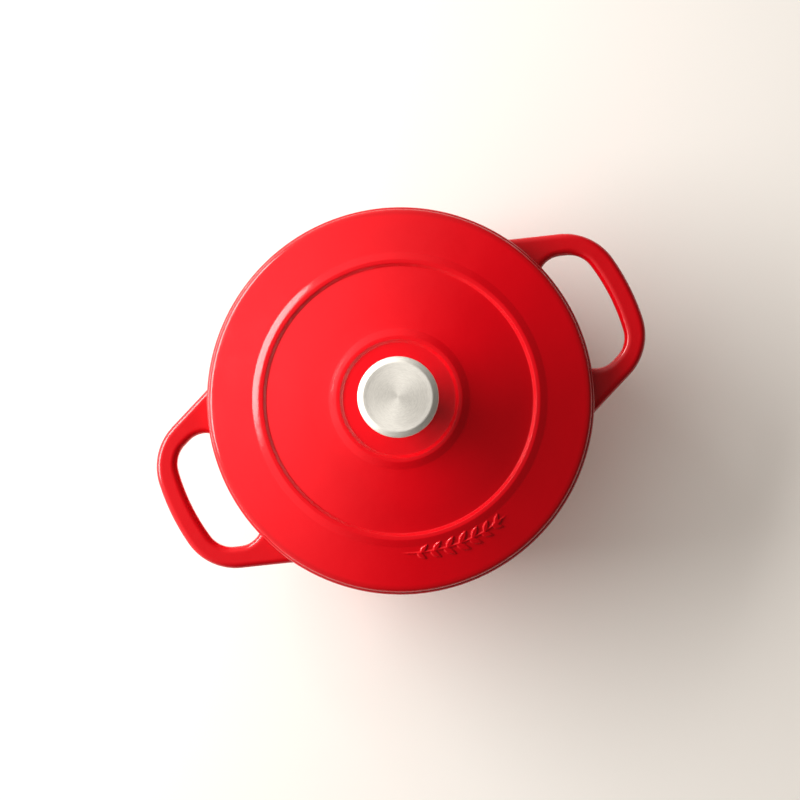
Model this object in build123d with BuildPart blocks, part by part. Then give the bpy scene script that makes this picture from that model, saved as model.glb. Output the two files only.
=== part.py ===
from build123d import *
from math import radians, tan
import os

os.makedirs("parts", exist_ok=True)

# A round cast iron dutch oven with a cast lid and a steel knob, in millimetres.
# +Z is up, the origin is the centre of the base where it stands, and the two loop handles
# lie along +X and -X.

# --- Pot ---
pot_height = 108.0  # from the table to the rim face that the lid rests on
rim_radius = 126.0
rim_depth = 7.0  # height of the thick band round the mouth
rim_overhang = 5.3  # how far that band stands out from the side
rim_rounding = 3.0
side_wall = 3.8
side_draft = 6.0  # degrees that the side leans in towards the base
floor_wall = 4.6
base_corner = 30.0  # outside radius between the side and the base
foot_ring_width = 5.0  # flat ring inside the base corner, which the pot stands on
foot_height = 1.0
foot_rounding = 0.5
edge_rounding = 1.2  # at the mouth's inner edge
band_corner_rounding = 1.6  # under the rim band

# --- Loop handles, cast with the pot ---
handle_reach = 42.4  # from the rim to the tip of the loop
handle_thickness = 10.0
handle_drop = 4.6  # from the rim band's underside to the handle's top
handle_bar = 14.4  # width of the loop's bar, seen from above
handle_half_width = 44.8  # from the middle to where the end and the side of the loop would cross
handle_end_crown = 7.0  # how far the end of the loop bows out
handle_side_lean = 20.3  # degrees that the loop's sides spread towards the pot
handle_corner = 38.0
handle_rounding = 4.0
handle_blend = 2.5  # fillet where a handle meets the side
gap_outer_corner = 17.5
gap_inner_corner = 16.0
touch = 0.02  # how near the side's surface an edge must be to count as lying on it
junction_margin = 0.1

# --- Lid ---
lid_setback = 2.0  # how far the lid's edge stays inside the rim band
lid_edge_height = 4.9
lid_edge_rounding = 3.6
lid_skirt_rise = 8.0  # from the edge up to the foot of the main ring
lid_crown_rise = 8.6  # from inside the main ring up to the foot of the knob's ring
lid_crown_bulge = 0.5  # how far the dome bows above a straight cone
lid_wall = 3.9
ring_inset = 35.4  # from the lid's edge in to the crest of the raised main ring
ring_step = 0.7  # how much higher the lid is inside the main ring than outside
boss_ring_radius = 38.9  # crest of the raised ring round the knob
boss_ring_step = 0.6
crest_width = 2.4
crest_height = 1.3  # how far a ring's crest stands above the lid inside it
crest_wall = 2.0  # plan width of a ring's steep inner side
crest_slope = 4.8  # plan width of a ring's gentle outer side
pad_radius = 19.0  # flat seat under the knob
pad_rise = 1.4
pad_skirt_width = 4.2  # plan width of the slope round the flat seat
pad_rounding = 1.5
pad_foot_rounding = 2.0
pad_wall = 6.0
under_pad_radius = 14.0  # flat for the washers under the lid
locating_lip_depth = 6.0
locating_lip_width = 3.4
locating_lip_gap = 1.5  # between the lip and the pot's mouth
lip_rounding = 0.8
lip_root_rounding = 0.5
hole_edge_rounding = 0.4
ring_point_radii = [0.8, 0.9, 2.0, 3.0]  # roundings of a ring's section, from its inside to its outside
under_lid_radii = [4.0, 20.0, 40.0, 30.0, 2.0]  # roundings below the lid, from the lip in to the pad

# --- Knob and its screw ---
screw_radius = 3.0  # M6
screw_length = 25.0
screw_gap = 0.05  # running clearance between the screw and the knob's thread
screw_hole_gap = 0.4  # clearance of the screw in the lid, washers and gasket
screw_head_radius = 6.0
screw_head_height = 3.8
screw_recess_width = 1.8
screw_recess_length = 6.4
screw_recess_depth = 2.2
screw_head_rounding = 2.3
screw_edge_rounding = 0.3
screw_tip_rounding = 0.6
spring_washer_radius = 5.9
spring_washer_thickness = 1.6
spring_washer_split = 1.2
flat_washer_radius = 9.0
flat_washer_thickness = 1.6
washer_rounding = 0.3
gasket_radius = 15.5
gasket_thickness = 1.0
knob_height = 34.0
knob_radius = 25.0
knob_base_radius = 16.5
knob_neck_radius = 12.4
knob_neck_height = 10.0
knob_neck_rounding = 9.0
knob_shoulder_rounding = 3.5
knob_sheet = 1.2  # thickness of the knob's pressed steel
knob_rim_height = 6.0  # depth of the cap's skirt
knob_bevel = 3.6  # plan width of the bevel round the cap's top
knob_bevel_drop = 1.6
knob_seam_gap = 0.1
knob_cap_radii = [0, 2.5, 1.8, 0.4, 0.2, 0.6, 2.0, 0]  # from the middle of its top round to below
insert_radius = 5.5
insert_flange_radius = 9.0
insert_flange_thickness = 2.0
insert_height = 22.0
insert_gap = 0.1
insert_cap_wall = 3.0  # metal left above the insert's blind bore
insert_rounding = 0.4

# --- Sizes that follow from the ones above ---
rim_underside = pot_height - rim_depth
side_radius_at_rim = rim_radius - rim_overhang


def side_radius(height):
    """Outside radius of the pot's leaning side at a height above the table."""
    return side_radius_at_rim - (rim_underside - height) * tan(radians(side_draft))


mouth_radius = side_radius(pot_height) - side_wall
floor_height = foot_height + floor_wall
base_corner_reach = base_corner * tan(radians(90 - side_draft) / 2)
foot_ring_radius = side_radius(0) - base_corner_reach - foot_ring_width

handle_top = rim_underside - handle_drop
handle_bottom = handle_top - handle_thickness
handle_tip = rim_radius + handle_reach
handle_corner_x = handle_tip - handle_end_crown
handle_root_x = rim_radius / 2  # inside the pot's hollow, which is cut out afterwards
handle_spread = (handle_corner_x - handle_root_x) * tan(radians(handle_side_lean))
handle_root_half_width = handle_half_width + handle_spread
gap_inner_radius = side_radius(handle_bottom) - side_wall / 2

lid_radius = rim_radius - lid_setback
ring_radius = lid_radius - ring_inset
ring_foot_height = pot_height + lid_edge_height + lid_skirt_rise
ring_inner_height = ring_foot_height + ring_step
boss_foot_height = ring_inner_height + lid_crown_rise
dish_height = boss_foot_height + boss_ring_step
pad_height = dish_height + pad_rise
under_pad_height = pad_height - pad_wall
lip_radius = mouth_radius - locating_lip_gap
lip_inner_radius = lip_radius - locating_lip_width

knob_bottom = pad_height + gasket_thickness
knob_top = knob_bottom + knob_height
knob_skirt_bottom = knob_top - knob_rim_height
flat_washer_bottom = under_pad_height - flat_washer_thickness
spring_washer_bottom = flat_washer_bottom - spring_washer_thickness
screw_hole_radius = screw_radius + screw_hole_gap
screw_end = spring_washer_bottom + screw_length
insert_bottom = knob_bottom + knob_sheet
insert_top = insert_bottom + insert_height


def ring_inner_start(crest_radius):
    """Radius where a raised ring's steep inner side begins."""
    return crest_radius - crest_width / 2 - crest_wall


def ring_outer_end(crest_radius):
    """Radius where a raised ring's gentle outer side ends."""
    return crest_radius + crest_width / 2 + crest_slope


def ring_points(crest_radius, inner_height, outer_height):
    """Corners of a raised ring's section, from its inside to its outside."""
    crest = inner_height + crest_height
    return [
        (ring_inner_start(crest_radius), inner_height),
        (crest_radius - crest_width / 2, crest),
        (crest_radius + crest_width / 2, crest),
        (ring_outer_end(crest_radius), outer_height),
    ]


def is_handle_junction(edge):
    """True for an edge that lies on the pot's leaning side at a handle's height."""
    for point in (edge @ 0, edge @ 0.5, edge @ 1):
        on_side = abs(Vector(point.X, point.Y).length - side_radius(point.Z)) < touch
        if not on_side:
            return False
        if not handle_bottom - junction_margin < point.Z < handle_top + junction_margin:
            return False
    return True


# --- Pot body: the side, floor and rim band are one casting with the two handles ---
with BuildSketch(Plane.XY.offset(handle_bottom)) as sharp_outline:
    with BuildLine():
        ThreePointArc(
            (handle_corner_x, -handle_half_width),
            (handle_tip, 0),
            (handle_corner_x, handle_half_width),
        )
        Polyline(
            (handle_corner_x, handle_half_width),
            (handle_root_x, handle_root_half_width),
            (handle_root_x, -handle_root_half_width),
            (handle_corner_x, -handle_half_width),
        )
    make_face()

with BuildSketch(Plane.XY.offset(handle_bottom)) as handle_outline:
    add(sharp_outline.sketch)
    fillet(handle_outline.vertices().sort_by(Axis.X)[-2:], handle_corner)

with BuildSketch(Plane.XY.offset(handle_bottom)) as finger_gap:
    add(sharp_outline.sketch)
    offset(amount=-handle_bar, kind=Kind.INTERSECTION)
    with Locations((0, 0)):
        Circle(gap_inner_radius, mode=Mode.SUBTRACT)
    fillet(finger_gap.vertices().sort_by(Axis.X)[-2:], gap_outer_corner)
    fillet(finger_gap.vertices().sort_by(Axis.X)[:2], gap_inner_corner)

with BuildPart() as handle_loop:
    extrude(handle_outline.sketch, amount=handle_thickness)
    extrude(finger_gap.sketch, amount=handle_thickness, mode=Mode.SUBTRACT)
    rounded_edges = [
        edge
        for edge in handle_loop.edges().filter_by(Axis.Z, reverse=True)
        if edge.center().X > handle_root_x + handle_rounding
    ]
    fillet(rounded_edges, handle_rounding)

with BuildPart() as pot_body:
    with BuildSketch(Plane.XZ):
        with BuildLine():
            FilletPolyline(
                (0, foot_height),
                (foot_ring_radius - foot_height, foot_height),
                (foot_ring_radius, 0),
                (side_radius(0), 0),
                (side_radius_at_rim, rim_underside),
                (rim_radius, rim_underside),
                (rim_radius, pot_height),
                (0, pot_height),
                radius=[
                    0,
                    foot_rounding,
                    foot_rounding,
                    base_corner,
                    band_corner_rounding,
                    band_corner_rounding,
                    rim_rounding,
                    0,
                ],
                close=True,
            )
        make_face()
    revolve(axis=Axis.Z)
    add(handle_loop.part)
    mirror(handle_loop.part, about=Plane.YZ)
    junctions = [edge for edge in pot_body.edges() if is_handle_junction(edge)]
    fillet(junctions, handle_blend)
    with BuildSketch(Plane.XZ):
        with BuildLine():
            FilletPolyline(
                (0, floor_height),
                (side_radius(floor_height) - side_wall, floor_height),
                (mouth_radius, pot_height),
                (mouth_radius + edge_rounding, pot_height + edge_rounding),
                (0, pot_height + edge_rounding),
                radius=[0, base_corner - side_wall, edge_rounding, 0, 0],
                close=True,
            )
        make_face()
    revolve(axis=Axis.Z, mode=Mode.SUBTRACT)
pot_body.part.label = "pot_body"
export_step(pot_body.part, "parts/pot_body.step")

# --- Lid: low dome with two raised rings, a knob pad and a lip that keeps it centred ---
dome_start = ring_outer_end(boss_ring_radius)
dome_end = ring_inner_start(ring_radius)
dome_half_span = (dome_end - dome_start) / 2
dome_middle_height = (boss_foot_height + ring_inner_height) / 2 + lid_crown_bulge
dome_rounding = dome_half_span**2 / (3 * lid_crown_bulge)

with BuildPart() as lid:
    with BuildSketch(Plane.XZ):
        with BuildLine():
            FilletPolyline(
                (screw_hole_radius, pad_height),
                (pad_radius, pad_height),
                (pad_radius + pad_skirt_width, dish_height),
                *ring_points(boss_ring_radius, dish_height, boss_foot_height),
                (dome_start + dome_half_span, dome_middle_height),
                *ring_points(ring_radius, ring_inner_height, ring_foot_height),
                (lid_radius, pot_height + lid_edge_height),
                (lid_radius, pot_height),
                (lip_radius, pot_height),
                (lip_radius, pot_height - locating_lip_depth),
                (lip_inner_radius, pot_height - locating_lip_depth),
                (lip_inner_radius, pot_height + lid_edge_height - lid_wall / 2),
                (ring_outer_end(ring_radius), ring_foot_height - lid_wall),
                (dome_end, ring_inner_height - lid_wall),
                (dome_start, boss_foot_height - lid_wall),
                (under_pad_radius, under_pad_height),
                (screw_hole_radius, under_pad_height),
                radius=[
                    hole_edge_rounding,
                    pad_rounding,
                    pad_foot_rounding,
                    *ring_point_radii,
                    dome_rounding,
                    *ring_point_radii,
                    lid_edge_rounding,
                    lip_rounding,
                    lip_root_rounding,
                    lip_rounding,
                    lip_rounding,
                    *under_lid_radii,
                    hole_edge_rounding,
                ],
                close=True,
            )
        make_face()
    revolve(axis=Axis.Z)
lid.part.label = "lid"
export_step(lid.part, "parts/lid.step")

# --- Knob shell: pressed steel, narrow at the neck and wide at the top ---
shell_top_radius = knob_radius - knob_sheet - knob_seam_gap
shell_top = knob_top - knob_bevel_drop - 2 * knob_sheet
neck_height = knob_bottom + knob_neck_height
with BuildPart() as knob_shell:
    with BuildSketch(Plane.XZ):
        with BuildLine():
            FilletPolyline(
                (insert_radius + insert_gap, knob_bottom),
                (knob_base_radius, knob_bottom),
                (knob_neck_radius, neck_height),
                (shell_top_radius, knob_skirt_bottom),
                (shell_top_radius, shell_top),
                (shell_top_radius - knob_sheet, shell_top),
                (shell_top_radius - knob_sheet, knob_skirt_bottom + knob_sheet / 3),
                (knob_neck_radius - knob_sheet, neck_height + knob_sheet / 3),
                (knob_base_radius - 2 * knob_sheet, knob_bottom + knob_sheet),
                (insert_radius + insert_gap, knob_bottom + knob_sheet),
                radius=[
                    0,
                    0.8 * knob_sheet,
                    knob_neck_rounding,
                    knob_shoulder_rounding,
                    knob_sheet / 4,
                    knob_sheet / 4,
                    knob_shoulder_rounding - knob_sheet,
                    knob_neck_rounding + knob_sheet,
                    knob_sheet / 2,
                    0,
                ],
                close=True,
            )
        make_face()
    revolve(axis=Axis.Z)
knob_shell.part.label = "knob_shell"
export_step(knob_shell.part, "parts/knob_shell.step")

# --- Knob cap: the disc that closes the knob, with a bevelled edge and a short skirt ---
with BuildPart() as knob_cap:
    with BuildSketch(Plane.XZ):
        with BuildLine():
            FilletPolyline(
                (0, knob_top),
                (knob_radius - knob_bevel, knob_top),
                (knob_radius, knob_top - knob_bevel_drop),
                (knob_radius, knob_skirt_bottom),
                (knob_radius - knob_sheet, knob_skirt_bottom),
                (knob_radius - knob_sheet, knob_top - knob_bevel_drop - knob_sheet),
                (knob_radius - knob_bevel - knob_sheet / 2, knob_top - knob_sheet),
                (0, knob_top - knob_sheet),
                radius=knob_cap_radii,
                close=True,
            )
        make_face()
    revolve(axis=Axis.Z)
knob_cap.part.label = "knob_cap"
export_step(knob_cap.part, "parts/knob_cap.step")

# --- Knob insert: threaded boss inside the shell, its spigot flush with the knob's base ---
with BuildPart() as knob_insert:
    with BuildSketch(Plane.XZ):
        with BuildLine():
            FilletPolyline(
                (screw_radius + screw_gap, knob_bottom),
                (insert_radius, knob_bottom),
                (insert_radius, insert_bottom),
                (insert_flange_radius, insert_bottom),
                (insert_flange_radius, insert_bottom + insert_flange_thickness),
                (insert_radius, insert_bottom + insert_flange_thickness),
                (insert_radius, insert_top),
                (0, insert_top),
                (0, insert_top - insert_cap_wall),
                (screw_radius + screw_gap, insert_top - insert_cap_wall),
                radius=[
                    0,
                    insert_rounding,
                    0,
                    insert_rounding,
                    insert_rounding,
                    insert_rounding,
                    insert_rounding,
                    0,
                    0,
                    0,
                ],
                close=True,
            )
        make_face()
    revolve(axis=Axis.Z)
knob_insert.part.label = "knob_insert"
export_step(knob_insert.part, "parts/knob_insert.step")

# --- Gasket between the knob and the lid ---
with BuildPart(Plane.XY.offset(pad_height)) as knob_gasket:
    Cylinder(gasket_radius, gasket_thickness, align=(Align.CENTER, Align.CENTER, Align.MIN))
    Hole(screw_hole_radius)
    fillet(knob_gasket.edges().filter_by(GeomType.CIRCLE).group_by(SortBy.RADIUS)[-1], washer_rounding)
knob_gasket.part.label = "knob_gasket"
export_step(knob_gasket.part, "parts/knob_gasket.step")

# --- Flat washer and split spring washer under the lid ---
with BuildPart(Plane.XY.offset(flat_washer_bottom)) as knob_flat_washer:
    Cylinder(flat_washer_radius, flat_washer_thickness, align=(Align.CENTER, Align.CENTER, Align.MIN))
    Hole(screw_hole_radius)
    fillet(knob_flat_washer.edges().filter_by(GeomType.CIRCLE).group_by(SortBy.RADIUS)[-1], washer_rounding)
knob_flat_washer.part.label = "knob_flat_washer"
export_step(knob_flat_washer.part, "parts/knob_flat_washer.step")

with BuildPart(Plane.XY.offset(spring_washer_bottom)) as knob_spring_washer:
    Cylinder(
        spring_washer_radius, spring_washer_thickness, align=(Align.CENTER, Align.CENTER, Align.MIN)
    )
    Hole(screw_hole_radius)
    with Locations((spring_washer_radius / 2, 0)):
        Box(
            2 * spring_washer_radius,
            spring_washer_split,
            spring_washer_thickness,
            align=(Align.CENTER, Align.CENTER, Align.MIN),
            mode=Mode.SUBTRACT,
        )
knob_spring_washer.part.label = "knob_spring_washer"
export_step(knob_spring_washer.part, "parts/knob_spring_washer.step")

# --- Knob screw: pan head below the lid, with a crossed recess in it ---
with BuildPart() as knob_screw:
    with BuildSketch(Plane.XZ):
        with BuildLine():
            FilletPolyline(
                (0, spring_washer_bottom - screw_head_height),
                (screw_head_radius, spring_washer_bottom - screw_head_height),
                (screw_head_radius, spring_washer_bottom),
                (screw_radius, spring_washer_bottom),
                (screw_radius, screw_end),
                (0, screw_end),
                radius=[
                    0,
                    screw_head_rounding,
                    screw_edge_rounding,
                    screw_edge_rounding,
                    screw_tip_rounding,
                    0,
                ],
                close=True,
            )
        make_face()
    revolve(axis=Axis.Z)
    with BuildSketch(Plane.XY.offset(spring_washer_bottom - screw_head_height)):
        with PolarLocations(0, 2, angular_range=180):
            Rectangle(screw_recess_length, screw_recess_width)
    extrude(amount=screw_recess_depth, mode=Mode.SUBTRACT)
knob_screw.part.label = "knob_screw"
export_step(knob_screw.part, "parts/knob_screw.step")
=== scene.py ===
import math
import bmesh
import bpy
import numpy as np
from mathutils import Matrix, Vector


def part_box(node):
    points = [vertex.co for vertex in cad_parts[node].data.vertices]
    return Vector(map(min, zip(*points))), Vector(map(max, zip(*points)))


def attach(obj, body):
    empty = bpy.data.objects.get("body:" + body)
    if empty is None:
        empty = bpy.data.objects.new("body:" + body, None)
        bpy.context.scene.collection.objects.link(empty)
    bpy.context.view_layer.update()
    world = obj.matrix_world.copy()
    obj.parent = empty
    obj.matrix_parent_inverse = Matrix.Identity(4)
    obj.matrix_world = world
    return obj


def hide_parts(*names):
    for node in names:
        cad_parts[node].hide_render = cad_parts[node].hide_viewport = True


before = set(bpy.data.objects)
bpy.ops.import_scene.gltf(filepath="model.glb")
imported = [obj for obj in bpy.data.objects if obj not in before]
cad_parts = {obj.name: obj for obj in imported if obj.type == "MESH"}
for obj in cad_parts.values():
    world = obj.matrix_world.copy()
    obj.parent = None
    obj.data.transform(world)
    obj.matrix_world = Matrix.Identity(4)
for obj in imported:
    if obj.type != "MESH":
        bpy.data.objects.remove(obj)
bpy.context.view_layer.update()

# Everything is in metres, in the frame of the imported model: +Z up, handles along +X and -X.
MM = 0.001

# --- Sizes read from the frame ---
_, pot_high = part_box("pot_body")
lid_low, lid_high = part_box("lid")
shell_low, shell_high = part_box("knob_shell")
cap_low, cap_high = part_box("knob_cap")
screw_low, screw_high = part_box("knob_screw")
spring_low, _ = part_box("knob_spring_washer")

pot_height = pot_high.z
rim_radius = pot_high.y
handle_tip = pot_high.x
lid_radius = lid_high.y
knob_bottom = shell_low.z
knob_top = cap_high.z
knob_radius = cap_high.x
screw_head_bottom = screw_low.z
screw_head_top = spring_low.z
screw_end = screw_high.z
screw_head_radius = screw_high.x

# --- Sizes of the castings ---
rim_depth = 7.0 * MM
rim_overhang = 5.3 * MM
side_wall = 3.8 * MM
floor_wall = 4.6 * MM
foot_height = 1.0 * MM
foot_ring_width = 5.0 * MM
base_corner = 30.0 * MM
foot_rounding = 0.5 * MM
band_corner_rounding = 1.6 * MM
band_edge_rounding = 1.8 * MM
rim_rounding = 3.0 * MM
mouth_rounding = 1.2 * MM
side_draft = math.radians(6.0)

handle_drop = 4.6 * MM
handle_thickness = 10.0 * MM
handle_bar = 14.4 * MM
handle_half_width = 44.8 * MM
handle_end_crown = 7.0 * MM
handle_side_lean = math.radians(20.3)
handle_corner = 38.0 * MM
handle_rounding = 4.0 * MM
gap_corner = 17.5 * MM
gap_inner_corner = 16.0 * MM
outer_root_blend = 10.0 * MM  # fillets where a handle meets the pot's side
inner_root_blend = 4.0 * MM
top_root_blend = 2.8 * MM
under_root_blend = 4.0 * MM
root_lift = 0.02 * MM  # a root fillet ends this far above the side,
root_dip = 0.07 * MM  # runs on to this far below it
root_run = 2.5 * MM  # over this length,
hidden_run = 2.0 * MM  # and then closes inside the wall
hidden_depth = 1.2 * MM
flank_overrun = 1.0 * MM  # how far a handle's outer line runs on inside the wall
painted_shade_on_handles = 0.6  # painted shade: how much deeper red the handles are painted, for the less light they get
handle_shade_fades_over = 12.0 * MM

lid_edge_height = 4.9 * MM
lid_skirt_rise = 8.0 * MM
ring_step = 0.7 * MM
lid_crown_rise = 8.6 * MM
lid_crown_bulge = 0.5 * MM
boss_ring_step = 0.6 * MM
pad_rise = 1.4 * MM
pad_skirt_width = 4.2 * MM
ring_radius = lid_radius - 35.4 * MM
boss_ring_radius = 38.9 * MM
pad_radius = 19.0 * MM
crest_width = 2.4 * MM
crest_height = 1.3 * MM
crest_wall = 2.0 * MM
crest_slope = 4.8 * MM
lid_wall = 3.9 * MM
pad_wall = 6.0 * MM
under_pad_radius = 14.0 * MM
lid_hole_radius = 3.4 * MM
lip_gap = 1.5 * MM
lip_width = 3.4 * MM
hole_edge_rounding = 0.4 * MM
pad_rounding = 1.5 * MM
pad_foot_rounding = 2.0 * MM
ring_point_radii = [0.8 * MM, 0.9 * MM, 2.0 * MM, 3.0 * MM]
lid_edge_rounding = 3.6 * MM
lid_under_edge_rounding = 0.8 * MM
lip_rounding = 0.8 * MM
lip_root_rounding = 0.5 * MM
under_lid_radii = [4.0 * MM, 20.0 * MM, 40.0 * MM, 30.0 * MM, 2.0 * MM]

# --- Fineness of the meshes ---
pot_segments = 288
lid_segments = 248  # round the lid outside the sprig, counting both ends
lid_wide_step = 2.4 * MM  # between points of the lid's straight runs outside the sprig
sprig_segments = 170
knob_segments = 192
screw_segments = 64
thread_steps = 8  # rings for each turn of the thread

rim_underside = pot_height - rim_depth
side_radius_at_rim = rim_radius - rim_overhang


def side_radius(height):
    """Outside radius of the pot's leaning side at a height above the table."""
    return side_radius_at_rim - (rim_underside - height) * math.tan(side_draft)


mouth_radius = side_radius(pot_height) - side_wall
floor_height = foot_height + floor_wall
handle_middle_height = rim_underside - handle_drop - handle_thickness / 2
handle_inward = np.array([-math.cos(handle_side_lean), math.sin(handle_side_lean)])
handle_outward = np.array([math.sin(handle_side_lean), math.cos(handle_side_lean)])
handle_side_angle = math.atan2(handle_outward[1], handle_outward[0])
handle_end_corner = np.array([handle_tip - handle_end_crown, handle_half_width])
gap_inner_radius = side_radius(handle_middle_height - handle_thickness / 2) - side_wall / 2


# --- Mesh tools ---
def outline(corners, radii, closed=True, span=3.0 * MM, arc_step=math.radians(11.0), guard=0.35 * MM):
    """Points along a line of corners, each rounded to its own radius, and how far along each point is.

    The second list counts corners: 2.0 is the third corner and 2.5 halfway on to the fourth. Straight runs
    get points at most span apart, with one close to each end, which keeps long smooth faces flat.
    """
    count = len(corners)
    corners = [Vector((x, y)) for x, y in corners]
    arcs = []
    for i, (corner, radius) in enumerate(zip(corners, radii)):
        before, after = corners[i - 1], corners[(i + 1) % count]
        if radius == 0 or (not closed and i in (0, count - 1)):
            arcs.append([corner])
            continue
        a, b = (before - corner).normalized(), (after - corner).normalized()
        turn = math.pi - a.angle(b)
        if turn < 1e-4:
            arcs.append([corner])
            continue
        reach = radius * math.tan(turn / 2)
        centre = corner + (a + b).normalized() * radius / math.cos(turn / 2)
        start, end = corner + a * reach - centre, corner + b * reach - centre
        swing = start.angle_signed(end)
        steps = max(2, math.ceil(turn / arc_step))
        arc = []
        for k in range(steps + 1):
            arc.append(centre + Matrix.Rotation(-swing * k / steps, 2) @ start)
        arcs.append(arc)
    points, stations = [], []
    for i, arc in enumerate(arcs):
        points += arc
        stations += [float(i)] * len(arc)
        if not closed and i == count - 1:
            break
        start, end = arc[-1], arcs[(i + 1) % count][0]
        length = (end - start).length
        if length < 2.5 * guard:
            continue
        pieces = max(1, math.ceil((length - 2 * guard) / span))
        for k in range(pieces + 1):
            along = (guard + (length - 2 * guard) * k / pieces) / length
            points.append(start.lerp(end, along))
            # Straight runs count from i.05 to i.95, so a whole number always means a corner.
            stations.append(i + 0.05 + 0.9 * along)
    return [(max(0.0, p.x), p.y) for p in points], stations


def ring_angles(segments):
    """Evenly spaced angles round the axis."""
    return np.arange(segments) * 2 * math.pi / segments


def lathe(points, angles):
    """Vertices and faces of a closed section turned about Z. Points on the axis become one vertex."""
    vertices, faces, rings, first = [], [], [], 0
    cosine, sine = np.cos(angles), np.sin(angles)
    turns = len(angles)
    for radius, height in points:
        if radius < 1e-7:
            vertices.append(np.array([[0.0, 0.0, height]]))
            rings.append([first] * turns)
            first += 1
        else:
            vertices.append(np.column_stack([radius * cosine, radius * sine, np.full(turns, height)]))
            rings.append(list(range(first, first + turns)))
            first += turns
    count = len(rings)
    for i in range(count):
        low, high = rings[i], rings[(i + 1) % count]
        if low[0] == low[1] and high[0] == high[1]:
            continue
        for k in range(turns):
            n = (k + 1) % turns
            face = [low[k], low[n], high[n], high[k]]
            if low[0] == low[1]:
                face = [low[0], high[n], high[k]]
            elif high[0] == high[1]:
                face = [low[k], low[n], high[0]]
            faces.append(face)
    sizes = [len(v) for v in vertices]
    return np.vstack(vertices), faces, sizes


def tube(rings):
    """Vertices and faces of rings of equal length joined in order, with a point closing each end."""
    count, around, _ = rings.shape
    vertices = rings.reshape(-1, 3)
    caps = np.vstack([rings[0].mean(axis=0), rings[-1].mean(axis=0)])
    faces = []
    for i in range(count - 1):
        for k in range(around):
            n = (k + 1) % around
            faces.append([i * around + k, i * around + n, (i + 1) * around + n, (i + 1) * around + k])
    start, end = count * around, count * around + 1
    for k in range(around):
        n = (k + 1) % around
        faces.append([start, n, k])
        faces.append([end, (count - 1) * around + k, (count - 1) * around + n])
    return np.vstack([vertices, caps]), faces


def make_piece(name, vertices, faces, material, body, node, attributes=None):
    """A smooth mesh object that rides on a body and stands for a CAD node."""
    mesh = bpy.data.meshes.new(name)
    mesh.from_pydata([tuple(v) for v in vertices], [], faces)
    for key, values in (attributes or {}).items():
        mesh.attributes.new(key, "FLOAT", "POINT").data.foreach_set("value", np.asarray(values, np.float32))
    mesh.update()
    piece = bpy.data.objects.new(name, mesh)
    bpy.context.scene.collection.objects.link(piece)
    mesh.materials.append(material)
    mesh.polygons.foreach_set("use_smooth", [True] * len(mesh.polygons))
    fix_normals(mesh)
    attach(piece, body)
    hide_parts(node)
    return piece


def fix_normals(mesh):
    """Turns every closed shell of a mesh to face outwards."""
    work = bmesh.new()
    work.from_mesh(mesh)
    bmesh.ops.recalc_face_normals(work, faces=work.faces)
    work.to_mesh(mesh)
    work.free()


# --- Node tools ---
class Nodes:
    """A node tree with short ways to add and link nodes."""

    def __init__(self, tree):
        self.tree = tree

    def link(self, source, target):
        self.tree.links.new(source, target)

    def node(self, kind, inputs=None, **settings):
        made = self.tree.nodes.new(kind)
        for key, value in settings.items():
            setattr(made, key, value)
        for key, value in (inputs or {}).items():
            if isinstance(value, bpy.types.NodeSocket):
                self.link(value, made.inputs[key])
            else:
                made.inputs[key].default_value = value
        return made

    def math(self, operation, a, b=0.0, clamp=False):
        return self.node("ShaderNodeMath", {0: a, 1: b}, operation=operation, use_clamp=clamp).outputs[0]

    def place(self):
        return self.node("ShaderNodeTexCoord").outputs["Object"]

    def noise(self, scale, detail=2.0, rough=0.5, vector=None):
        inputs = {"Scale": scale, "Detail": detail, "Roughness": rough, "Vector": vector or self.place()}
        return self.node("ShaderNodeTexNoise", inputs).outputs["Fac"]

    def remap(self, value, low, high, to_low=0.0, to_high=1.0):
        inputs = {"Value": value, "From Min": low, "From Max": high, "To Min": to_low, "To Max": to_high}
        return self.node("ShaderNodeMapRange", inputs, interpolation_type="SMOOTHSTEP").outputs["Result"]

    def mix(self, factor, a, b):
        # Inputs 6 and 7 and output 2 are the colours; the node has others for numbers and vectors.
        return self.node("ShaderNodeMix", {0: factor, 6: a, 7: b}, data_type="RGBA").outputs[2]

    def attribute(self, name):
        return self.node("ShaderNodeAttribute", attribute_name=name).outputs["Fac"]

    def bump(self, height, strength, distance, normal=None):
        inputs = {"Height": height, "Strength": strength, "Distance": distance}
        if normal is not None:
            inputs["Normal"] = normal
        return self.node("ShaderNodeBump", inputs).outputs["Normal"]


class Shader(Nodes):
    """A new material and its nodes."""

    def __init__(self, name):
        self.material = bpy.data.materials.new(name)
        self.material.use_nodes = True
        super().__init__(self.material.node_tree)
        self.surface = self.tree.nodes["Principled BSDF"]


def colour(red, green, blue):
    """Linear colour with full alpha."""
    return (red, green, blue, 1.0)


# --- Materials ---
RED = colour(0.76, 0.001, 0.010)
DEEP_RED = colour(0.52, 0.001, 0.006)
# The darker red below serves sharp edges, where the coat is thinner, and painted shade on the handles.
THIN_COAT_AND_SHADE_RED = colour(0.42, 0.003, 0.007)
SAND = colour(0.62, 0.52, 0.37)
SAND_SPECK = colour(0.20, 0.13, 0.07)
DARK = colour(0.016, 0.015, 0.015)


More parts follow.
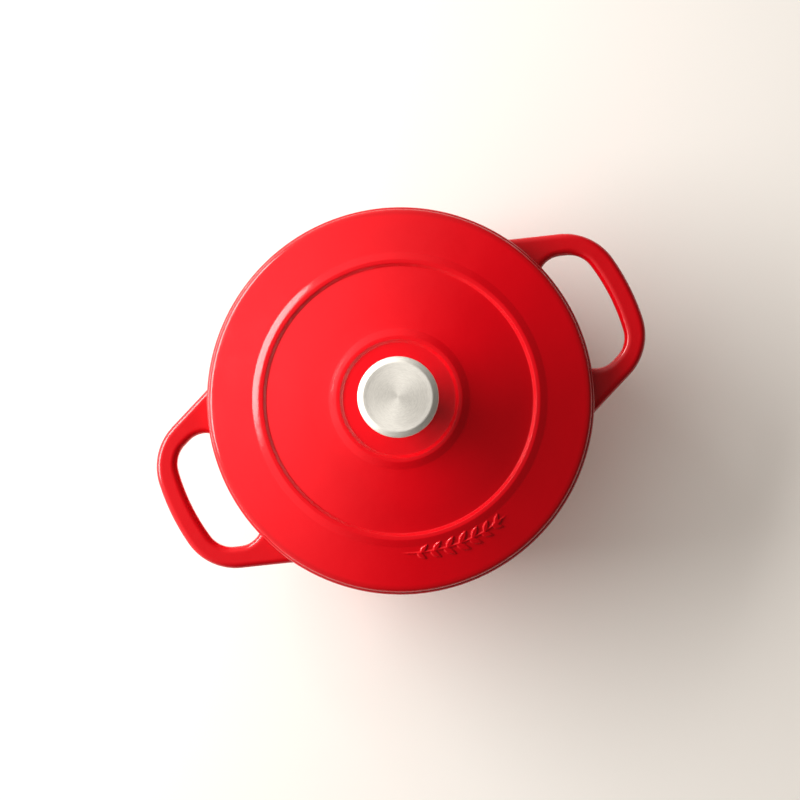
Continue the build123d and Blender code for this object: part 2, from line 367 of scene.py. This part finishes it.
def enamel(name):
    """Glossy red enamel, sand coloured enamel where "sand" is 1 and dark matt enamel where "dark" is 1."""
    shader = Shader(name)
    waver = shader.math("SUBTRACT", shader.noise(260.0, 3.0), 0.5)
    waver = shader.math("MULTIPLY", waver, 0.35)
    sand = shader.remap(shader.math("ADD", shader.attribute("sand"), waver), 0.42, 0.58)
    dark = shader.remap(shader.math("ADD", shader.attribute("dark"), waver), 0.42, 0.58)
    thin_coat_and_shade = shader.attribute("thin_coat_and_shade")
    # The red is a little deeper in broad patches. It is darker still on sharp edges, where the coat is
    # thinner, and on the handles, where the darkening is painted shade for the less light they get.
    red = shader.mix(shader.remap(shader.noise(14.0, 3.0), 0.35, 0.75, 0.0, 0.22), RED, DEEP_RED)
    red = shader.mix(shader.math("MULTIPLY", thin_coat_and_shade, 0.55), red, THIN_COAT_AND_SHADE_RED)
    specks = shader.node(
        "ShaderNodeTexVoronoi", {"Vector": shader.place(), "Scale": 420.0, "Randomness": 1.0}
    ).outputs["Distance"]
    few = shader.remap(shader.noise(300.0, 2.0), 0.56, 0.66)
    speck = shader.math("MULTIPLY", shader.remap(specks, 0.10, 0.24, 1.0, 0.0), few)
    sand_colour = shader.mix(shader.math("MULTIPLY", speck, 0.6), SAND, SAND_SPECK)
    base = shader.mix(sand, red, sand_colour)
    base = shader.mix(dark, base, DARK)
    shader.link(base, shader.surface.inputs["Base Color"])
    gloss = shader.remap(shader.noise(35.0, 4.0, 0.6), 0.3, 0.8, 0.12, 0.19)
    rough = shader.math("ADD", gloss, shader.math("MULTIPLY", dark, 0.38), clamp=True)
    shader.link(rough, shader.surface.inputs["Roughness"])
    shader.surface.inputs["IOR"].default_value = 1.5
    shader.surface.inputs["Coat Weight"].default_value = 0.15
    shader.surface.inputs["Coat Roughness"].default_value = 0.06
    # Orange peel of the fired coat over the slow unevenness of the sand casting.
    peel = shader.noise(420.0, 2.0, 0.4)
    waves = shader.noise(42.0, 2.0, 0.5)
    grit = shader.noise(1100.0, 3.0, 0.7)
    normal = shader.bump(waves, 0.35, 0.0006)
    normal = shader.bump(peel, 0.16, 0.00022, normal)
    gritty = shader.bump(shader.math("MULTIPLY", grit, dark), 0.5, 0.0003, normal)
    shader.link(gritty, shader.surface.inputs["Normal"])
    shader.link(normal, shader.surface.inputs["Coat Normal"])
    return shader.material


def turned_steel(name, tint, rough_low, rough_high, line_strength):
    """Steel with the fine lines that turning and polishing leave round the axis."""
    shader = Shader(name)
    place = shader.node("ShaderNodeSeparateXYZ", {"Vector": shader.place()})
    x, y, z = place.outputs["X"], place.outputs["Y"], place.outputs["Z"]
    radius = shader.math(
        "SQRT", shader.math("ADD", shader.math("MULTIPLY", x, x), shader.math("MULTIPLY", y, y))
    )
    angle = shader.math("ARCTAN2", y, x)
    lines_at = shader.node(
        "ShaderNodeCombineXYZ", {"X": shader.math("MULTIPLY", angle, 0.0022), "Y": radius, "Z": z}
    ).outputs["Vector"]
    lines = shader.noise(2600.0, 3.0, 0.65, lines_at)
    smudge = shader.noise(45.0, 4.0, 0.6)
    in_lines = colour(*(c * 0.86 for c in tint[:3]))
    in_smudges = colour(*(c * 0.8 for c in tint[:3]))
    tone = shader.mix(shader.remap(lines, 0.3, 0.7), tint, in_lines)
    tone = shader.mix(shader.remap(smudge, 0.45, 0.8, 0.0, 0.25), tone, in_smudges)
    shader.link(tone, shader.surface.inputs["Base Color"])
    shader.surface.inputs["Metallic"].default_value = 0.6
    rough = shader.remap(smudge, 0.3, 0.8, rough_low, rough_high)
    rough = shader.math("ADD", rough, shader.math("MULTIPLY", lines, 0.05))
    shader.link(rough, shader.surface.inputs["Roughness"])
    shader.surface.inputs["Anisotropic"].default_value = 0.45
    tangent = shader.node("ShaderNodeTangent", direction_type="RADIAL", axis="Z")
    shader.link(tangent.outputs["Tangent"], shader.surface.inputs["Tangent"])
    shader.link(shader.bump(lines, line_strength, 0.00005), shader.surface.inputs["Normal"])
    return shader.material


def plated_steel(name):
    """Zinc plated steel: pale grey, slightly mottled, with faint scratches."""
    shader = Shader(name)
    mottle = shader.noise(500.0, 4.0, 0.6)
    tone = shader.mix(mottle, colour(0.60, 0.61, 0.62), colour(0.42, 0.43, 0.45))
    shader.link(tone, shader.surface.inputs["Base Color"])
    shader.surface.inputs["Metallic"].default_value = 1.0
    shader.link(shader.remap(mottle, 0.2, 0.8, 0.28, 0.45), shader.surface.inputs["Roughness"])
    scratches = shader.noise(3000.0, 2.0, 0.5)
    shader.link(shader.bump(scratches, 0.25, 0.00004), shader.surface.inputs["Normal"])
    return shader.material


def gasket_rubber(name):
    """Heat-proof ring: matt, nearly black, faintly grainy."""
    shader = Shader(name)
    grain = shader.noise(1800.0, 3.0, 0.6)
    tone = shader.mix(grain, colour(0.030, 0.029, 0.028), colour(0.055, 0.053, 0.050))
    shader.link(tone, shader.surface.inputs["Base Color"])
    shader.link(shader.remap(grain, 0.2, 0.8, 0.55, 0.75), shader.surface.inputs["Roughness"])
    shader.link(shader.bump(grain, 0.3, 0.00006), shader.surface.inputs["Normal"])
    return shader.material


enamel_material = enamel("red_enamel")
knob_material = turned_steel("knob_satin_steel", colour(0.93, 0.90, 0.84), 0.46, 0.56, 0.3)
plated_material = plated_steel("plated_steel")
gasket_material = gasket_rubber("gasket_rubber")


# --- Pot casting ---
def loop_line(inset, corner, arc_points=18, corner_points=18):
    """Half of a line round the handle seen from above: over its end and round the corner to its side.

    inset is how far the line lies inside the handle's outer edge. A row is a point and the normal there.
    """
    end_radius = (handle_half_width**2 + handle_end_crown**2) / (2 * handle_end_crown)
    centre = np.array([handle_tip - end_radius, 0.0])
    side_offset = np.dot(handle_outward, handle_end_corner - centre) - inset - corner
    corner_centre = centre + along_flank(side_offset, end_radius - inset - corner)
    end_angle = math.atan2(corner_centre[1] - centre[1], corner_centre[0] - centre[0])
    end = arc_line(centre, end_radius - inset, 0.0, end_angle, arc_points)
    turn = arc_line(corner_centre, corner, end_angle, handle_side_angle, corner_points)
    return np.vstack([end, turn[1:]])


def arc_line(centre, radius, start, end, count):
    """Points on an arc, each with the arc's outward normal."""
    angles = np.linspace(start, end, count + 1)
    normals = np.column_stack([np.cos(angles), np.sin(angles)])
    return np.column_stack([centre + radius * normals, normals])


def evenly(line, count):
    """The line's points and normals at even steps along it."""
    lengths = np.concatenate([[0.0], np.cumsum(np.hypot(*np.diff(line[:, :2], axis=0).T))])
    steps = np.linspace(0.0, lengths[-1], count)
    made = np.column_stack([np.interp(steps, lengths, column) for column in line.T])
    made[:, 2:] /= np.hypot(made[:, 2], made[:, 3])[:, None]
    return made


def along_flank(offset, reach):
    """A vector of length reach: offset of it along the flank's normal, the rest towards the handle's end."""
    return handle_outward * offset - handle_inward * math.sqrt(reach**2 - offset**2)


def flank_lines(outer_start, inner_start, count=90, turn_points=40):
    """The handle's outer and inner lines from the end of the loop to just inside the pot's side.

    The inner line turns away along the pot, which closes the finger gap in a round end and leaves a web.
    """
    outer_offset = np.dot(handle_outward, handle_end_corner)
    hidden_end = along_flank(outer_offset, gap_inner_radius - flank_overrun)
    outer = np.vstack([outer_start, np.concatenate([hidden_end, handle_outward])])
    turn_offset = outer_offset - handle_bar - gap_inner_corner
    turn_centre = along_flank(turn_offset, gap_inner_radius + gap_inner_corner)
    last_angle = math.pi + math.atan2(turn_centre[1], turn_centre[0])
    turn = arc_line(turn_centre, gap_inner_corner, handle_side_angle, last_angle, turn_points)
    return evenly(outer, count), evenly(np.vstack([inner_start, turn]), count)


def bar_columns(arc_points=8, flat_points=10):
    """The lines that run along the handle: (share of the outer line, inset, height, normal's angle)."""
    flat_height = handle_thickness / 2 - handle_rounding
    columns = []
    for share, level, start in ((1.0, 1.0, 0.0), (0.0, 1.0, 90.0), (0.0, -1.0, 180.0), (1.0, -1.0, 270.0)):
        for k in range(arc_points + 1):
            angle = math.radians(start + 90.0 * k / arc_points)
            inset = handle_rounding * (1.0 - abs(math.cos(angle)))
            columns.append((share, inset, level * flat_height + handle_rounding * math.sin(angle), angle))
        if start in (0.0, 180.0):
            for k in range(1, flat_points):
                across = abs(share - k / flat_points)
                columns.append((across, handle_rounding, level * handle_thickness / 2, angle))
        else:
            columns.append((share, 0.0, 0.0, angle))
    return np.array(columns)


def bar_points(outer, inner, columns):
    """Points of the handle's surface: one row for each place along it, one column for each line."""
    share, inset, height = (columns[:, i][None, :, None] for i in range(3))
    outer, inner = outer[:, None, :], inner[:, None, :]
    plan = share * (outer[..., :2] - outer[..., 2:] * inset)
    plan = plan + (1.0 - share) * (inner[..., :2] + inner[..., 2:] * inset)
    level = np.broadcast_to(height + handle_middle_height, plan[..., :1].shape)
    return np.concatenate([plan, level], axis=2)


def on_side(point, depth=0.0):
    """The point moved straight in or out until it lies on the pot's side, or depth below it."""
    flat = math.hypot(point[0], point[1])
    scale = (side_radius(point[2]) - depth) / flat
    return np.array([point[0] * scale, point[1] * scale, point[2]])


def blend_size(angle):
    """How far the fillet between the handle and the pot's side reaches, for a line with this normal."""
    side_blend = outer_root_blend if math.cos(angle) > 0 else inner_root_blend
    level_blend = top_root_blend if math.sin(angle) > 0 else under_root_blend
    return side_blend * math.cos(angle) ** 2 + level_blend * math.sin(angle) ** 2


def root_line(points, angle, straight_steps=14, blend_steps=12):
    """One line of the handle from the loop into the pot's side, with a fillet where they meet."""
    blend = blend_size(angle)
    clearance = np.hypot(points[:, 0], points[:, 1]) - side_radius(points[:, 2])
    places = np.arange(len(points), dtype=float)

    def at_clearance(value):
        return np.interp(-value, -clearance, places)

    def point_at(place):
        return np.array([np.interp(place, places, column) for column in points.T])

    line = [point_at(place) for place in np.linspace(0.0, at_clearance(blend), straight_steps + 1)[1:]]
    lean = math.sin(side_draft)
    for k in range(1, blend_steps + 1):
        turn = math.pi / 2 * k / blend_steps
        point = point_at(at_clearance(blend * (1.0 - math.sin(turn))))
        polar = math.atan2(point[1], point[0])
        along = np.array([-math.sin(polar), math.cos(polar), 0.0])
        rise = np.array([lean * math.cos(polar), lean * math.sin(polar), math.cos(side_draft)])
        away = along * math.cos(angle) + rise * math.sin(angle)
        line.append(point + away * blend * (1.0 - math.cos(turn)))
    line[-1] = on_side(line[-1], -root_lift)
    line.append(on_side(point + away * (blend + root_run), root_dip))
    line.append(on_side(point + away * hidden_run, hidden_depth))
    return np.array(line)


def handle_rings():
    """Rings of one handle from the middle of its end to where it has run out on the pot's side."""
    columns = bar_columns()
    outer, inner = loop_line(0.0, handle_corner), loop_line(handle_bar, gap_corner)
    loop = bar_points(outer, inner, columns)
    flanks = bar_points(*flank_lines(outer[-1], inner[-1]), columns)
    roots = [root_line(flanks[:, i], angle) for i, angle in enumerate(columns[:, 3])]
    return np.concatenate([loop, np.stack(roots, axis=1)])


def handle_mesh():
    """Vertices and faces of the handle on +X."""
    half = handle_rings()
    mirrored = half[:0:-1] * np.array([1.0, -1.0, 1.0])
    return tube(np.concatenate([mirrored, half]))


def pot_casting():
    """The pot with its rim band, turned about Z, and its two handles."""
    corner_reach = base_corner * math.tan((math.pi / 2 - side_draft) / 2)
    foot_radius = side_radius(0.0) - corner_reach - foot_ring_width
    corners = [
        (0.0, foot_height),
        (foot_radius - foot_height, foot_height),
        (foot_radius, 0.0),
        (side_radius(0.0), 0.0),
        (side_radius_at_rim, rim_underside),
        (rim_radius, rim_underside),
        (rim_radius, pot_height),
        (mouth_radius, pot_height),
        (side_radius(floor_height) - side_wall, floor_height),
        (0.0, floor_height),
    ]
    radii = [
        0,
        foot_rounding,
        foot_rounding,
        base_corner,
        band_corner_rounding,
        band_edge_rounding,
        rim_rounding,
        mouth_rounding,
        base_corner - side_wall,
        0,
    ]
    points, stations = outline(corners, radii, span=4.0 * MM)
    vertices, faces, sizes = lathe(points, ring_angles(pot_segments))
    # Where the coats change, counted in corners of the section: 3 is the base corner, 5 and 6 are the
    # rim band's lower and upper edges, and 7 is the mouth's edge.
    base_end, rim_start, mouth_end = (2.86, 2.96), (6.20, 6.34), (7.05, 7.10)
    dark_at = [*base_end, *rim_start, *mouth_end]
    zones = {
        "sand": np.interp(stations, mouth_end, [0.0, 1.0]),
        "dark": np.interp(stations, dark_at, [1.0, 0.0, 0.0, 1.0, 1.0, 0.0]),
        "thin_coat_and_shade": np.interp(stations, [4.8, 5.0, 5.2, 5.8, 6.0, 6.2], [0.0, 1.0, 0.3, 0.3, 0.8, 0.0]),
    }
    attributes = {key: np.repeat(values, sizes) for key, values in zones.items()}
    handle, handle_faces = handle_mesh()
    # Painted shade: the handles get a deeper red, more of it away from the pot's side, for the less light
    # they get lying low.
    clearance = np.hypot(handle[:, 0], handle[:, 1]) - side_radius(handle[:, 2])
    handle_painted_shade = painted_shade_on_handles * np.clip(clearance / handle_shade_fades_over, 0.0, 1.0)
    for turn in (1.0, -1.0):
        first = len(vertices)
        vertices = np.vstack([vertices, handle * np.array([turn, turn, 1.0])])
        faces += [[first + i for i in face] for face in handle_faces]
        for key in attributes:
            added = handle_painted_shade if key == "thin_coat_and_shade" else np.zeros(len(handle))
            attributes[key] = np.concatenate([attributes[key], added])
    return make_piece(
        "pot_casting", vertices, faces, enamel_material, "pot", "pot_body", attributes
    )


pot_casting()


# --- Lid casting ---
ring_foot_height = pot_height + lid_edge_height + lid_skirt_rise
ring_inner_height = ring_foot_height + ring_step
boss_foot_height = ring_inner_height + lid_crown_rise
dish_height = boss_foot_height + boss_ring_step
pad_height = dish_height + pad_rise
sprig_angle = math.radians(-94.5)
sprig_radius = 99.5 * MM
sprig_half_length = 33.0 * MM
sprig_half_width = 8.0 * MM
sprig_height = 0.85 * MM
sprig_bend = 0.9 * MM  # height and length of the slow wave that the stem follows
sprig_wave = 0.62 * sprig_half_length
stem_half_width = 0.75 * MM
stem_end_share = 0.15  # share of the taper that is left at the stem's ends
stem_relief = 0.8  # share of the sprig's height
leaf_pairs_each_way = 3
leaf_spacing = 8.6 * MM
leaf_offset = 1.0 * MM
leaf_stagger = 2.2 * MM  # between the two leaves of a pair
leaf_length = 9.6 * MM
leaf_width = 4.4 * MM
leaf_angle = math.radians(40.0)
leaf_shrink = 0.09  # for each pair away from the middle
vein_half_width = 0.28 * MM
vein_depth = 0.35
tip_length = 9.0 * MM
tip_width = 3.6 * MM


def raised_ring(crest_radius, inner_height, outer_height):
    """Corners of a raised ring's section, from its steep inner side to its gentle outer side."""
    crest = inner_height + crest_height
    return [
        (crest_radius - crest_width / 2 - crest_wall, inner_height),
        (crest_radius - crest_width / 2, crest),
        (crest_radius + crest_width / 2, crest),
        (crest_radius + crest_width / 2 + crest_slope, outer_height),
    ]


def leaf(along, across, root, length, width, lean):
    """Height from 0 to 1 of a pointed leaf that grows from root, leaning from the sprig's line."""
    u = (along - root[0]) * math.cos(lean) + (across - root[1]) * math.sin(lean)
    v = -(along - root[0]) * math.sin(lean) + (across - root[1]) * math.cos(lean)
    t = np.clip(u / length, 0.0, 1.0)
    half = width / 2 * np.sin(math.pi * t**0.8) + 1e-9
    inside = 1.0 - (v / half) ** 2
    vein = 1.0 - vein_depth * np.exp(-((v / vein_half_width) ** 2))
    return np.where((u > 0) & (u < length), np.sqrt(np.clip(inside, 0.0, 1.0)) * vein, 0.0)


def sprig(along, across):
    """Relief of a plain sprig of leaves: along follows the ring, across points outwards."""
    v = across - sprig_bend * np.sin(along / sprig_wave)
    taper = np.clip(1.0 + stem_end_share - np.abs(along) / sprig_half_length, 0.0, 1.0)
    stem = 1.0 - (v / (stem_half_width * np.sqrt(taper) + 1e-9)) ** 2
    relief = stem_relief * np.sqrt(np.clip(stem, 0.0, 1.0))
    relief = np.where(np.abs(along) < sprig_half_length, relief, 0.0)
    for k in range(-leaf_pairs_each_way, leaf_pairs_each_way + 1):
        root = k * leaf_spacing - leaf_offset
        size = 1.0 - leaf_shrink * abs(k)
        for side in (1.0, -1.0):
            start = (root + (leaf_stagger if side < 0 else 0.0), 0.0)
            blade = leaf(along, v, start, leaf_length * size, leaf_width * size, side * leaf_angle)
            relief = np.maximum(relief, blade)
    tip = leaf(along, v, (sprig_half_length - tip_length, 0.0), tip_length, tip_width, 0.0)
    return np.maximum(relief, tip)


def lid_casting():
    """The lid turned about Z, with a plain sprig of leaves raised outside its main ring."""
    dome_start = boss_ring_radius + crest_width / 2 + crest_slope
    dome_end = ring_radius - crest_width / 2 - crest_wall
    half_span = (dome_end - dome_start) / 2
    lip_radius = mouth_radius - lip_gap
    corners = [
        (lid_hole_radius, pad_height),
        (pad_radius, pad_height),
        (pad_radius + pad_skirt_width, dish_height),
        *raised_ring(boss_ring_radius, dish_height, boss_foot_height),
        (dome_start + half_span, (boss_foot_height + ring_inner_height) / 2 + lid_crown_bulge),
        *raised_ring(ring_radius, ring_inner_height, ring_foot_height),
        (lid_radius, pot_height + lid_edge_height),
        (lid_radius, pot_height),
        (lip_radius, pot_height),
        (lip_radius, lid_low.z),
        (lip_radius - lip_width, lid_low.z),
        (lip_radius - lip_width, pot_height + lid_edge_height - lid_wall / 2),
        (ring_radius + crest_width / 2 + crest_slope, ring_foot_height - lid_wall),
        (dome_end, ring_inner_height - lid_wall),
        (dome_start, boss_foot_height - lid_wall),
        (under_pad_radius, pad_height - pad_wall),
        (lid_hole_radius, pad_height - pad_wall),
    ]
    dome_radius = half_span**2 / (3 * lid_crown_bulge)
    radii = [hole_edge_rounding, pad_rounding, pad_foot_rounding]
    radii += [*ring_point_radii, dome_radius, *ring_point_radii]
    radii += [lid_edge_rounding, lid_under_edge_rounding, lip_root_rounding, lip_rounding, lip_rounding]
    radii += [*under_lid_radii, hole_edge_rounding]
    points, stations = outline(corners, radii, span=0.5 * MM)
    # Where the coats change, counted in corners of the section: 12 and 13 are the upper and lower edges
    # of the lid's rim, and 15 is the lip's outer lower edge.
    top_end, dark_start, lip_end = 12.2, (12.86, 12.96), (15.0, 15.2)
    # Only the sprig needs the close points, so elsewhere most of those on straight runs are left out.
    keep, last = [], None
    for i, ((radius, height), station) in enumerate(zip(points, stations)):
        in_sprig = station < top_end and abs(radius - sprig_radius) < sprig_half_width
        whole = abs(station - round(station)) < 1e-9
        if in_sprig or whole or last is None or math.dist(last, (radius, height)) > lid_wide_step:
            keep.append(i)
            last = (radius, height)
    points = [points[i] for i in keep]
    stations = [stations[i] for i in keep]
    spread = sprig_half_length / sprig_radius
    dense = np.linspace(-spread, spread, sprig_segments) + sprig_angle
    coarse = np.linspace(spread, 2 * math.pi - spread, lid_segments)[1:-1] + sprig_angle
    vertices, faces, sizes = lathe(points, np.concatenate([dense, coarse]))
    stations = np.repeat(stations, sizes)
    radius = np.hypot(vertices[:, 0], vertices[:, 1])
    turn = np.angle(np.exp(1j * (np.arctan2(vertices[:, 1], vertices[:, 0]) - sprig_angle)))
    relief = sprig(turn * sprig_radius, radius - sprig_radius)
    vertices[:, 2] += np.where(stations < top_end, relief * sprig_height, 0.0)
    attributes = {
        "sand": np.interp(stations, lip_end, [0.0, 1.0]),
        "dark": np.interp(stations, [*dark_start, *lip_end], [0.0, 1.0, 1.0, 0.0]),
        "thin_coat_and_shade": np.interp(stations, [11.9, 12.0, 12.1], [0.0, 0.6, 0.2]) * (stations < 12.8),
    }
    return make_piece(
        "lid_casting", vertices, faces, enamel_material, "lid", "lid", attributes
    )


lid_casting()


# --- Knob ---
sheet = 1.2 * MM
bevel = 3.6 * MM
bevel_drop = 1.6 * MM
skirt_bottom = cap_low.z
shell_top_radius = shell_high.x
neck_radius = 12.4 * MM
neck_height = knob_bottom + 10.0 * MM
base_radius = 16.5 * MM
bore_radius = 5.6 * MM
dish_depth = 0.12 * MM  # of the cap's top in its middle
dish_edge_depth = 0.10 * MM
dish_edge_width = 3.0 * MM
# One rounding for each corner of the two sections below.
cap_roundings = [0, 20.0 * MM, 2.5 * MM, 1.8 * MM, 0.4 * MM, 0.2 * MM, 0.6 * MM, 2.0 * MM, 0]
shell_roundings = [0, 0.96 * MM, 9.0 * MM, 3.5 * MM, 0.3 * MM, 0.3 * MM, 2.3 * MM, 10.2 * MM, 0.6 * MM, 0]


def knob_cap():
    """The knob's top disc: barely dished, with a bevel and a rolled skirt."""
    corners = [
        (0.0, knob_top - dish_depth),
        (knob_radius - bevel - dish_edge_width, knob_top - dish_edge_depth),
        (knob_radius - bevel, knob_top),
        (knob_radius, knob_top - bevel_drop),
        (knob_radius, skirt_bottom),
        (knob_radius - sheet, skirt_bottom),
        (knob_radius - sheet, knob_top - bevel_drop - sheet),
        (knob_radius - bevel - sheet / 2, knob_top - sheet),
        (0.0, knob_top - sheet),
    ]
    points, _ = outline(corners, cap_roundings, span=1.5 * MM, guard=0.15 * MM)
    vertices, faces, _ = lathe(points, ring_angles(knob_segments))
    return make_piece("knob_top_cap", vertices, faces, knob_material, "knob", "knob_cap")


def knob_shell():
    """The knob's hollow body, narrow at the neck and wide under the cap."""
    shell_top = shell_high.z
    corners = [
        (bore_radius, knob_bottom),
        (base_radius, knob_bottom),
        (neck_radius, neck_height),
        (shell_top_radius, skirt_bottom),
        (shell_top_radius, shell_top),
        (shell_top_radius - sheet, shell_top),
        (shell_top_radius - sheet, skirt_bottom + sheet / 3),
        (neck_radius - sheet, neck_height + sheet / 3),
        (base_radius - 2 * sheet, knob_bottom + sheet),
        (bore_radius, knob_bottom + sheet),
    ]
    points, _ = outline(corners, shell_roundings, span=1.5 * MM, guard=0.15 * MM)
    vertices, faces, _ = lathe(points, ring_angles(knob_segments))
    return make_piece(
        "knob_flared_shell", vertices, faces, knob_material, "knob", "knob_shell"
    )


knob_cap()
knob_shell()


# --- Screw: rolled thread on the shank, crossed recess in the pan head ---
shank_radius = 3.0 * MM
thread_pitch = 1.0 * MM
thread_depth = 0.45 * MM
shank_start = screw_head_top + 0.2 * MM
thread_start = screw_head_top + 1.5 * MM
screw_chamfer = 0.6 * MM
head_roundings = [0, 2.3 * MM, 0.3 * MM, 0.3 * MM]
recess_length = 6.4 * MM
recess_width = 1.7 * MM
recess_depth = 2.2 * MM
recess_taper = 0.62  # length at the bottom over length at the mouth
cutter_overrun = 0.2 * MM  # how far the recess's cutter sticks out of the head


def knob_screw():
    """The M6 screw. The thread is cut into a fine turned shank by moving its points inwards."""
    heights = [shank_start]
    while heights[-1] < screw_end - screw_chamfer:
        heights.append(heights[-1] + thread_pitch / thread_steps)
    corners = [
        (0.0, screw_head_bottom),
        (screw_head_radius, screw_head_bottom),
        (screw_head_radius, screw_head_top),
        (shank_radius, screw_head_top),
    ]
    head, _ = outline(corners, head_roundings, closed=False, span=0.7 * MM, guard=0.1 * MM)
    tip = [(shank_radius - screw_chamfer, screw_end), (0.0, screw_end)]
    points = head[:-1] + [(shank_radius, h) for h in heights] + tip
    vertices, faces, _ = lathe(points, ring_angles(screw_segments))
    angle = np.arctan2(vertices[:, 1], vertices[:, 0]) / (2 * math.pi)
    turns = (vertices[:, 2] - thread_start) / thread_pitch
    groove = np.abs(np.mod(turns - angle, 1.0) - 0.5) * 2
    fade = np.clip(turns, 0.0, 1.0)
    on_surface = np.hypot(vertices[:, 0], vertices[:, 1]) > shank_radius * 0.99
    deepening = groove * fade * thread_depth / shank_radius
    scale = np.where((turns > 0.0) & on_surface, 1.0 - deepening, 1.0)
    vertices[:, 0] *= scale
    vertices[:, 1] *= scale
    piece = make_piece(
        "knob_fixing_screw", vertices, faces, plated_material, "screw", "knob_screw"
    )
    cut_recess(piece)
    return piece


def cut_recess(piece):
    """Cuts the crossed recess for a screwdriver into the underside of the head."""
    vertices, faces = [], []
    for turn in (0, 1):
        first = len(vertices)
        for height, shrink in ((-cutter_overrun, 1.0), (recess_depth, recess_taper)):
            for x, y in ((-1, -1), (1, -1), (1, 1), (-1, 1)):
                a, b = x * recess_length / 2 * shrink, y * recess_width / 2 * (0.5 + shrink / 2)
                point = (a, b) if turn == 0 else (-b, a)
                vertices.append((point[0], point[1], screw_head_bottom + height))
        box = [(0, 3, 2, 1), (4, 5, 6, 7), (0, 1, 5, 4), (1, 2, 6, 5), (2, 3, 7, 6), (3, 0, 4, 7)]
        faces += [[first + i for i in face] for face in box]
    mesh = bpy.data.meshes.new("recess_cutter")
    mesh.from_pydata(vertices, [], faces)
    cutter = bpy.data.objects.new("recess_cutter", mesh)
    bpy.context.scene.collection.objects.link(cutter)
    cut = piece.modifiers.new("recess", "BOOLEAN")
    cut.operation = "DIFFERENCE"
    cut.solver = "EXACT"
    cut.use_self = True
    cut.object = cutter
    graph = bpy.context.evaluated_depsgraph_get()
    result = bpy.data.meshes.new_from_object(piece.evaluated_get(graph))
    piece.modifiers.clear()
    piece.data = result
    bpy.data.objects.remove(cutter)


knob_screw()

# --- Pieces whose CAD shape is already right get their real material ---
for node, material in (
    ("knob_insert", plated_material),
    ("knob_flat_washer", plated_material),
    ("knob_spring_washer", plated_material),
    ("knob_gasket", gasket_material),
):
    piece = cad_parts[node]
    for slot in piece.material_slots:
        slot.material = material


# --- Stage: a plain pale floor ---
def floor(half_width=6.0, below=0.2 * MM):
    """A wide floor a hair below the pot's foot, so that the two faces never coincide."""
    mesh = bpy.data.meshes.new("floor")
    corners = [(x * half_width, y * half_width, 0) for x, y in ((-1, -1), (1, -1), (1, 1), (-1, 1))]
    mesh.from_pydata(corners, [], [(0, 1, 2, 3)])
    piece = bpy.data.objects.new("floor", mesh)
    bpy.context.scene.collection.objects.link(piece)
    piece.location.z = -below
    shader = Shader("floor_paint")
    cloud = shader.noise(3.0, 3.0, 0.5)
    tone = shader.mix(cloud, colour(0.80, 0.785, 0.76), colour(0.765, 0.75, 0.725))
    shader.link(tone, shader.surface.inputs["Base Color"])
    shader.surface.inputs["Roughness"].default_value = 0.6
    # A little light of its own lifts the shadow, as a pale backdrop lit from below does.
    shader.surface.inputs["Emission Color"].default_value = colour(1.0, 0.86, 0.74)
    shader.surface.inputs["Emission Strength"].default_value = 0.15
    mesh.materials.append(shader.material)


floor()

# --- Light and camera ---
picture_roll = math.radians(26.5)  # the +X handle points this far up from the picture's right
right = Vector((math.cos(picture_roll), -math.sin(picture_roll), 0.0))
up = Vector((math.sin(picture_roll), math.cos(picture_roll), 0.0))
window_angle = math.radians(18.0)  # the window lies to the picture's left, this far above level
window_from = math.sin(window_angle) * up - math.cos(window_angle) * right
window_distance = 1.25
window_height = 0.72
window_size = (1.5, 0.7)
window_power = 34.0
window_tint = (1.0, 0.99, 0.97)
window_target = (0.0, 0.0, 0.1)


def area_light(name, place, target, size, power, tint):
    """A soft rectangular light that faces target."""
    light = bpy.data.lights.new(name, "AREA")
    light.shape = "RECTANGLE"
    light.size, light.size_y = size
    light.energy = power
    light.color = tint
    lamp = bpy.data.objects.new(name, light)
    bpy.context.scene.collection.objects.link(lamp)
    lamp.location = place
    lamp.rotation_mode = "QUATERNION"
    lamp.rotation_quaternion = (Vector(target) - Vector(place)).to_track_quat("-Z", "Y")
    return lamp


window_place = window_from * window_distance + Vector((0, 0, window_height))
area_light("window", window_place, window_target, window_size, window_power, window_tint)


def room_light(side, bright, dark, strength):
    """Soft light from the window's side of the room, fading to dark on the other side."""
    world = bpy.data.worlds.new("room")
    bpy.context.scene.world = world
    world.use_nodes = True
    nodes = Nodes(world.node_tree)
    background = nodes.tree.nodes["Background"]
    direction = nodes.node("ShaderNodeTexCoord").outputs["Generated"]
    towards = nodes.node("ShaderNodeVectorMath", {0: direction, 1: side}, operation="DOT_PRODUCT")
    fade = nodes.remap(towards.outputs["Value"], -0.25, 0.75)
    nodes.link(nodes.mix(fade, dark, bright), background.inputs["Color"])
    background.inputs["Strength"].default_value = strength


room_light(window_from, colour(1.0, 0.975, 0.94), colour(0.08, 0.072, 0.062), 1.1)

camera_height = 1.0  # above the rim
frame_width = 0.518  # width of the picture at the rim's height
camera_right = 21.84 * MM  # the camera stood this far right of the pot's middle
camera_down = 32.37 * MM  # and this far below it in the picture
camera_data = bpy.data.cameras.new("camera")
camera_data.lens = camera_data.sensor_width * camera_height / frame_width
camera = bpy.data.objects.new("camera", camera_data)
bpy.context.scene.collection.objects.link(camera)
aim = Vector((0.0, 0.0, pot_height))
camera.location = aim + camera_right * right - camera_down * up + Vector((0, 0, camera_height))
back = (camera.location - aim).normalized()
level = (right - back * right.dot(back)).normalized()
camera.rotation_mode = "QUATERNION"
camera.rotation_quaternion = Matrix((level, back.cross(level), back)).transposed().to_quaternion()
bpy.context.scene.camera = camera
view = bpy.context.scene.view_settings
view.view_transform = "Standard"
view.gamma = 0.88
view.exposure = 0.1
